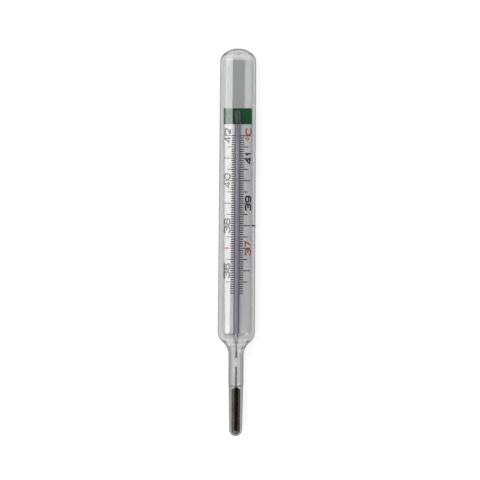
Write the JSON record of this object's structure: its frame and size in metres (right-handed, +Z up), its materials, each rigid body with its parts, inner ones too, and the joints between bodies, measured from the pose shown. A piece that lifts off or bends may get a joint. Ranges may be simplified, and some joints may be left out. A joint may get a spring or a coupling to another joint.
{
  "type": "clinical thermometer",
  "caption": "Glass clinical thermometer of the flat enclosed-scale type: a mercury thread in a capillary in front of a scale plate, inside an oval sheath with a bulb at its tip.",
  "frame": {"origin": "on the surface it lies on, below the stem's axis at the middle of the length", "axes": "+Y along the stem from the bulb to the domed top, +Z up out of the reading face, +X to the right when it is read"},
  "size_m": [0.0126, 0.13, 0.0072],
  "materials": {
    "sheath_glass": "polished",
    "stem_glass": "polished",
    "mercury": "polished",
    "opal_plate": "satin",
    "green_print": "satin",
    "black_print": "matte",
    "red_print": "matte",
    "blue_enamel": "gloss"
  },
  "bodies": {
    "thermometer": {"sheath": "sheath_glass", "neck": "stem_glass", "bulb": "stem_glass", "capillary": "stem_glass", "bulb_mercury": "mercury", "mercury_thread": "mercury", "scale_plate": "opal_plate", "green_band": "green_print", "graduations": "black_print", "fever_mark": "red_print", "datum_mark": "blue_enamel"},
    "reading": {"mercury_head": "mercury"}
  },
  "joints": [
    {"name": "mercury_rise", "type": "slide", "parent": "thermometer", "child": "reading", "axis": [0, 1, 0], "range_m": [-0.0567, 0], "deforming": ["mercury_thread"]}
  ]
}
